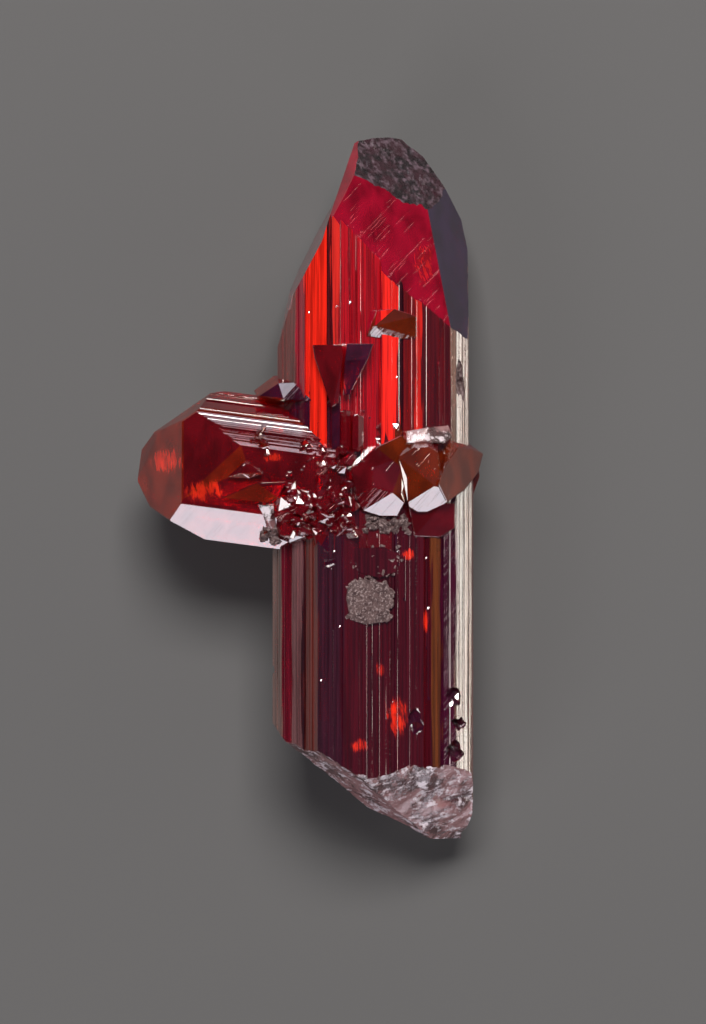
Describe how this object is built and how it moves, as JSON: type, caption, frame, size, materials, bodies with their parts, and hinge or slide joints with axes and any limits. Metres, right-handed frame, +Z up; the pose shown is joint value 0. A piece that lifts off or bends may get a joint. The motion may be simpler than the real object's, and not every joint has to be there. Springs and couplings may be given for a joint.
{
  "type": "proustite crystal specimen",
  "caption": "Dark red striated mineral prism with a sloping point, a broken foot and a second crystal grown across it at mid-length, lying on its flat back.",
  "frame": {"origin": "on the flat resting face of the back, under the long axis of the prism, near mid-length", "axes": "+Y along the prism towards its pointed end, +Z up from the resting face to the front face, +X across the prism, away from the crossing crystal's blunt end"},
  "size_m": [0.022, 0.0449, 0.0125],
  "materials": {
    "proustite": "deep red, see-through in thin places, brilliant lengthwise striated faces, with rough grey-red broken ends and beige crust"
  },
  "bodies": {
    "root": {"proustite": "proustite"}
  },
  "joints": []
}
